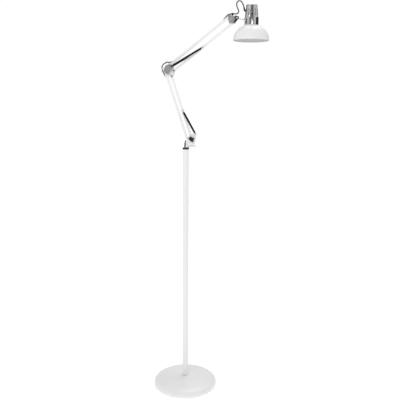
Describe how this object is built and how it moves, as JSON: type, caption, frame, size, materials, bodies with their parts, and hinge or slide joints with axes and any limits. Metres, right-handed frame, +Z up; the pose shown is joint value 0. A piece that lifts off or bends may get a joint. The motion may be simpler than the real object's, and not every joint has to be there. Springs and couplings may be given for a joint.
{
  "type": "adjustable arm floor lamp",
  "caption": "White floor lamp: round domed base, slim pole, sprung two-stage balanced arm with steel elbow plates, and a half-round shade under a vented metal cap.",
  "frame": {"origin": "on the floor, at the middle of the round base", "axes": "+Z up along the pole; +X from the pole towards the lamp head; -Y is the front"},
  "size_m": [0.4604, 0.272, 1.6037],
  "materials": {
    "white_paint": "fine white powder coat, satin",
    "chrome": "bright plated steel",
    "steel": "zinc plated",
    "black_plastic": "satin moulded",
    "spring_black": "blackened spring steel",
    "cord_grey": "flexible sheath",
    "nylon": "natural moulded nylon",
    "rubber": "moulded",
    "cast_iron": "sand cast, sealed",
    "brass": "pressed"
  },
  "bodies": {
    "stand": {"base_pad": "rubber", "base_weight": "cast_iron", "base_cover": "white_paint", "base_bolt": "steel", "lead_grommet": "rubber", "foot_ring": "nylon", "pole": "white_paint", "pole_plug": "steel", "spindle_holder": "steel", "swivel_spindle": "steel"},
    "swivel": {"swivel_collar": "black_plastic", "swivel_post": "white_paint", "bracket_front": "white_paint", "bracket_rear": "white_paint", "bracket_rivets": "steel", "lower_spring_ears": "steel", "cord_post": "cord_grey", "lower_spring_front": "spring_black", "lower_spring_rear": "spring_black"},
    "lock_knob": {"lock_knob": "white_paint", "lock_screw": "steel"},
    "lower_knob": {"lower_knob": "black_plastic", "lower_knob_screw": "steel"},
    "lower_left_arm": {"lower_left_bar": "white_paint", "lower_left_bushes": "nylon"},
    "lower_right_arm": {"lower_right_bar": "white_paint", "lower_right_bushes": "nylon", "lower_spring_bolt": "steel"},
    "elbow": {"elbow_front": "chrome", "elbow_rear": "chrome", "elbow_rivets": "steel", "upper_spring_ears": "steel", "elbow_cord_clip": "nylon", "cord_lower_arm": "cord_grey", "cord_elbow": "cord_grey", "upper_spring_front": "spring_black", "upper_spring_rear": "spring_black"},
    "upper_top_arm": {"upper_top_bar": "white_paint", "upper_top_bushes": "nylon"},
    "upper_bottom_arm": {"upper_bottom_bar": "white_paint", "upper_bottom_bushes": "nylon", "upper_spring_bolt": "steel"},
    "head_bracket": {"head_bracket_front": "chrome", "head_bracket_rear": "chrome", "head_rivets": "steel", "head_cord_clip": "black_plastic", "cord_upper_arm": "cord_grey"},
    "head_knob": {"head_knob": "black_plastic", "head_knob_screw": "steel", "head_knob_nut": "steel"},
    "head": {"head_stem": "chrome", "shade": "white_paint", "shade_cap": "chrome", "shade_ring": "nylon", "lamp_holder": "black_plastic", "screw_shell": "brass", "strain_relief": "rubber", "switch_body": "black_plastic", "cord_head": "cord_grey"},
    "switch_rocker": {"switch_rocker": "black_plastic"}
  },
  "joints": [
    {"name": "swivel_turn", "type": "hinge", "parent": "stand", "child": "swivel", "pos_m": [0, 0, 1.031], "axis": [0, 0, 1], "range_deg": [-170, 170]},
    {"name": "lock_knob_turn", "type": "hinge", "parent": "swivel", "child": "lock_knob", "pos_m": [0.02, 0, 1.0363], "axis": [1, 0, 0], "continuous": true},
    {"name": "lower_knob_turn", "type": "hinge", "parent": "swivel", "child": "lower_knob", "pos_m": [0.022, -0.012, 1.0633], "axis": [0, 1, 0], "continuous": true},
    {"name": "lower_arm", "type": "hinge", "parent": "swivel", "child": "lower_left_arm", "pos_m": [0.005, 0, 1.0665], "axis": [0, 1, 0], "range_deg": [-14, 55], "deforming": ["lower_spring_front", "lower_spring_rear", "cord_post", "cord_lower_arm"]},
    {"name": "lower_right_pivot", "type": "hinge", "parent": "swivel", "child": "lower_right_arm", "pos_m": [0.0305, 0, 1.04651], "axis": [0, 1, 0], "range_deg": [-15, 56]},
    {"name": "elbow_pivot", "type": "hinge", "parent": "lower_left_arm", "child": "elbow", "pos_m": [-0.08214, 0, 1.33312], "axis": [0, 1, 0], "range_deg": [-56, 15]},
    {"name": "upper_arm", "type": "hinge", "parent": "elbow", "child": "upper_top_arm", "pos_m": [-0.06784, 0, 1.35382], "axis": [0, 1, 0], "range_deg": [-35, 50], "deforming": ["upper_spring_front", "upper_spring_rear", "cord_elbow", "cord_upper_arm"]},
    {"name": "upper_bottom_pivot", "type": "hinge", "parent": "elbow", "child": "upper_bottom_arm", "pos_m": [-0.04895, 0, 1.33384], "axis": [0, 1, 0], "range_deg": [-36, 51]},
    {"name": "head_bracket_pivot", "type": "hinge", "parent": "upper_top_arm", "child": "head_bracket", "pos_m": [0.16778, 0, 1.54192], "axis": [0, 1, 0], "range_deg": [-51, 36]},
    {"name": "head_tilt", "type": "hinge", "parent": "head_bracket", "child": "head", "pos_m": [0.19618, 0, 1.53502], "axis": [0, 1, 0], "range_deg": [-70, 15], "deforming": ["cord_head"]},
    {"name": "head_knob_turn", "type": "hinge", "parent": "head_bracket", "child": "head_knob", "pos_m": [0.19618, -0.012, 1.53502], "axis": [0, 1, 0], "continuous": true},
    {"name": "switch_rock", "type": "hinge", "parent": "head", "child": "switch_rocker", "pos_m": [0.27484, -0.01716, 1.52483], "axis": [0.6428, 0.766, 0], "range_deg": [0, 14]}
  ],
  "couplings": [
    {"joint": "lower_right_pivot", "follows": "lower_arm", "ratio": 1},
    {"joint": "elbow_pivot", "follows": "lower_arm", "ratio": -1},
    {"joint": "upper_bottom_pivot", "follows": "upper_arm", "ratio": 1},
    {"joint": "head_bracket_pivot", "follows": "upper_arm", "ratio": -1}
  ]
}
